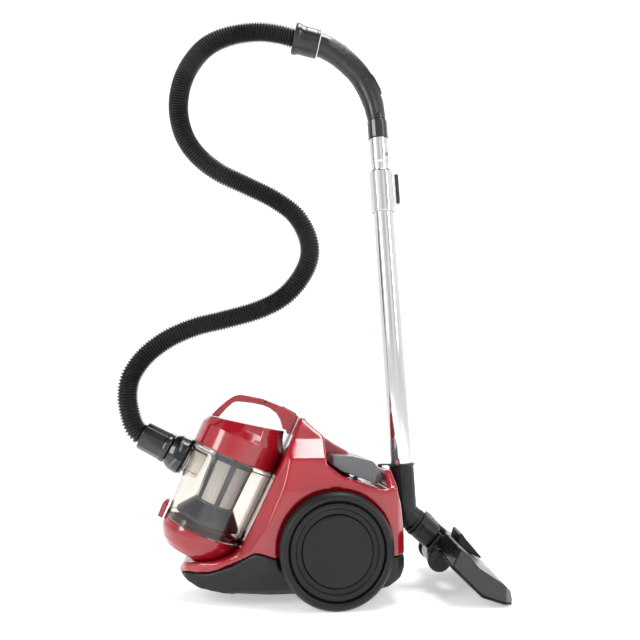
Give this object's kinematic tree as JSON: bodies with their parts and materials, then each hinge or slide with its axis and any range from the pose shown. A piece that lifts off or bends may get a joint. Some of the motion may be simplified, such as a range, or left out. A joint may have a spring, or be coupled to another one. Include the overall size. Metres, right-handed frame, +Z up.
{
  "type": "canister vacuum cleaner",
  "caption": "Bagless canister vacuum with a clear tilted dust bin, two large wheels, ribbed hose, telescopic chrome wand and floor nozzle.",
  "frame": {"origin": "on the floor under the centre of the object's outline without the hose", "axes": "+Z up, +X towards the rear where the wand is parked, -Y towards the left wheel"},
  "size_m": [0.6199, 0.2623, 0.97],
  "materials": {
    "red_plastic": "high gloss",
    "black_plastic": "fine satin grain",
    "gloss_black": "gloss",
    "black_rubber": "matt",
    "chrome": "mirror",
    "steel": "brushed",
    "grey_plastic": "metallic satin",
    "clear_plastic": "clear gloss",
    "navy_plastic": "satin",
    "filter_cloth": "woven"
  },
  "bodies": {
    "body": {"base_pan": "black_plastic", "upper_housing": "red_plastic", "exhaust_cover": "black_plastic", "exhaust_filter": "filter_cloth", "cord_outlet": "black_plastic", "duct_seal": "black_rubber", "motor_housing": "steel", "motor_mount": "black_rubber", "reel_axle": "steel", "power_spring": "steel", "rewind_spring": "steel", "left_axle": "steel", "right_axle": "steel", "hose": "black_plastic"},
    "left_wheel": {"left_wheel": "black_rubber", "left_hub_cap": "black_plastic"},
    "right_wheel": {"right_wheel": "black_rubber", "right_hub_cap": "black_plastic"},
    "caster": {"caster_fork": "black_plastic", "caster_pin": "steel"},
    "caster_wheel": {"caster_wheel": "black_rubber"},
    "fan": {"motor_fan": "steel"},
    "reel": {"cord_reel": "grey_plastic"},
    "power_pedal": {"power_pedal": "grey_plastic"},
    "rewind_pedal": {"rewind_pedal": "grey_plastic"},
    "bin": {"bin_cylinder": "clear_plastic", "flap_hinge_pin": "steel", "inlet_port": "black_plastic", "hose_connector": "gloss_black"},
    "flap": {"bottom_flap": "red_plastic"},
    "latch": {"flap_latch": "red_plastic"},
    "lid": {"bin_lid": "red_plastic", "carry_handle": "red_plastic", "filter_cage": "navy_plastic", "filter_mesh": "filter_cloth", "cone_skirt": "black_plastic"},
    "release_button": {"bin_release_button": "grey_plastic"},
    "left_hose_button": {"left_hose_button": "black_plastic"},
    "right_hose_button": {"right_hose_button": "black_plastic"},
    "lower_cuff": {"lower_cuff": "gloss_black"},
    "wand": {"outer_tube": "chrome", "telescope_collar": "chrome", "nozzle_neck": "black_plastic"},
    "lock_button": {"lock_button": "black_plastic"},
    "upper_wand": {"inner_tube": "chrome", "grip_socket": "black_plastic", "grip": "black_plastic"},
    "snap_pin": {"snap_pin": "steel"},
    "slider": {"suction_slider": "black_plastic"},
    "upper_cuff": {"upper_cuff": "black_plastic"},
    "swivel": {"swivel_collar": "black_plastic", "nozzle_yoke": "black_plastic", "nozzle_axle": "steel"},
    "nozzle": {"nozzle_housing": "black_plastic", "sole_plate": "black_plastic"},
    "brush": {"brush_strip": "black_rubber"},
    "nozzle_pedal": {"nozzle_pedal": "black_plastic"},
    "left_nozzle_wheel": {"left_nozzle_wheel": "black_plastic"},
    "right_nozzle_wheel": {"right_nozzle_wheel": "black_plastic"}
  },
  "joints": [
    {"name": "left_wheel_spin", "type": "hinge", "parent": "body", "child": "left_wheel", "pos_m": [0.0152, 0, 0.085], "axis": [0, 1, 0], "continuous": true},
    {"name": "right_wheel_spin", "type": "hinge", "parent": "body", "child": "right_wheel", "pos_m": [0.0152, 0, 0.085], "axis": [0, 1, 0], "continuous": true},
    {"name": "caster_swivel", "type": "hinge", "parent": "body", "child": "caster", "pos_m": [-0.1448, 0, 0.03], "axis": [0, 0, 1], "continuous": true},
    {"name": "caster_wheel_spin", "type": "hinge", "parent": "caster", "child": "caster_wheel", "pos_m": [-0.1368, 0, 0.014], "axis": [0, 1, 0], "continuous": true},
    {"name": "fan_spin", "type": "hinge", "parent": "body", "child": "fan", "pos_m": [-0.0588, 0, 0.08], "axis": [1, 0, 0], "continuous": true},
    {"name": "reel_spin", "type": "hinge", "parent": "body", "child": "reel", "pos_m": [0.0432, 0, 0.146], "axis": [0, 0, 1], "continuous": true},
    {"name": "power_press", "type": "slide", "parent": "body", "child": "power_pedal", "axis": [-0.3322, 0, -0.9432], "range_m": [0, 0.003], "stiffness_N_per_m": 900, "deforming": ["power_spring"]},
    {"name": "rewind_press", "type": "slide", "parent": "body", "child": "rewind_pedal", "axis": [-0.3322, 0, -0.9432], "range_m": [0, 0.003], "stiffness_N_per_m": 900, "deforming": ["rewind_spring"]},
    {"name": "bin_lift", "type": "slide", "parent": "body", "child": "bin", "axis": [0, 0, 1], "range_m": [0, 0.1], "deforming": ["hose"]},
    {"name": "flap_open", "type": "hinge", "parent": "bin", "child": "flap", "pos_m": [-0.12428, 0, 0.07008], "axis": [0, -1, 0], "range_deg": [0, 28]},
    {"name": "latch_release", "type": "hinge", "parent": "bin", "child": "latch", "pos_m": [-0.24362, 0, 0.14244], "axis": [0, 1, 0], "range_deg": [0, 12], "stiffness_Nm_per_rad": 0.4},
    {"name": "lid_lift", "type": "slide", "parent": "bin", "child": "lid", "axis": [0.3939, 0, 0.9191], "range_m": [0, 0.03]},
    {"name": "bin_button_press", "type": "slide", "parent": "lid", "child": "release_button", "axis": [-0.4726, 0, -0.8813], "range_m": [0, 0.0025], "stiffness_N_per_m": 600},
    {"name": "left_hose_button_press", "type": "slide", "parent": "bin", "child": "left_hose_button", "axis": [0, 1, 0], "range_m": [0, 0.0025], "stiffness_N_per_m": 600},
    {"name": "right_hose_button_press", "type": "slide", "parent": "bin", "child": "right_hose_button", "axis": [0, -1, 0], "range_m": [0, 0.0025], "stiffness_N_per_m": 600},
    {"name": "lower_cuff_swivel", "type": "hinge", "parent": "bin", "child": "lower_cuff", "pos_m": [-0.20633, 0, 0.20915], "axis": [-0.8862, 0, 0.4633], "continuous": true},
    {"name": "wand_lift", "type": "slide", "parent": "body", "child": "wand", "axis": [0, 0, 1], "range_m": [0, 0.06], "deforming": ["hose"]},
    {"name": "lock_button_slide", "type": "slide", "parent": "wand", "child": "lock_button", "axis": [0.0586, 0, -0.9983], "range_m": [0, 0.005], "stiffness_N_per_m": 500},
    {"name": "telescope", "type": "slide", "parent": "wand", "child": "upper_wand", "axis": [-0.0586, 0, 0.9983], "range_m": [0, 0.3], "deforming": ["hose"]},
    {"name": "snap_pin_press", "type": "slide", "parent": "upper_wand", "child": "snap_pin", "axis": [-0.5972, 0.8013, -0.035], "range_m": [0, 0.002], "stiffness_N_per_m": 500},
    {"name": "suction_slide", "type": "slide", "parent": "upper_wand", "child": "slider", "axis": [0.4509, 0, -0.8926], "range_m": [0, 0.012]},
    {"name": "upper_cuff_swivel", "type": "hinge", "parent": "upper_wand", "child": "upper_cuff", "pos_m": [0.0015, 0, 0.9341], "axis": [-0.9785, 0, 0.2062], "continuous": true},
    {"name": "neck_swivel", "type": "hinge", "parent": "wand", "child": "swivel", "pos_m": [0.1635, 0, 0.104], "axis": [0.7441, 0, -0.6681], "range_deg": [-20, 12]},
    {"name": "nozzle_tilt", "type": "hinge", "parent": "swivel", "child": "nozzle", "pos_m": [0.19466, 0.0017, 0.05234], "axis": [0.064, 0.9954, 0.0713], "range_deg": [-25, 0]},
    {"name": "brush_drop", "type": "slide", "parent": "nozzle", "child": "brush", "axis": [-0.2482, 0.0851, -0.965], "range_m": [0, 0.004]},
    {"name": "nozzle_pedal_rock", "type": "hinge", "parent": "nozzle", "child": "nozzle_pedal", "pos_m": [0.24655, -0.00219, 0.06008], "axis": [0.064, 0.9954, 0.0713], "range_deg": [0, 5]},
    {"name": "left_nozzle_wheel_spin", "type": "hinge", "parent": "swivel", "child": "left_nozzle_wheel", "pos_m": [0.19466, 0.0017, 0.05234], "axis": [0.064, 0.9954, 0.0713], "continuous": true},
    {"name": "right_nozzle_wheel_spin", "type": "hinge", "parent": "swivel", "child": "right_nozzle_wheel", "pos_m": [0.19466, 0.0017, 0.05234], "axis": [0.064, 0.9954, 0.0713], "continuous": true}
  ],
  "couplings": [
    {"joint": "flap_open", "follows": "bin_lift", "rad_per_m": 4.75},
    {"joint": "brush_drop", "follows": "nozzle_pedal_rock", "m_per_rad": 0.04}
  ]
}
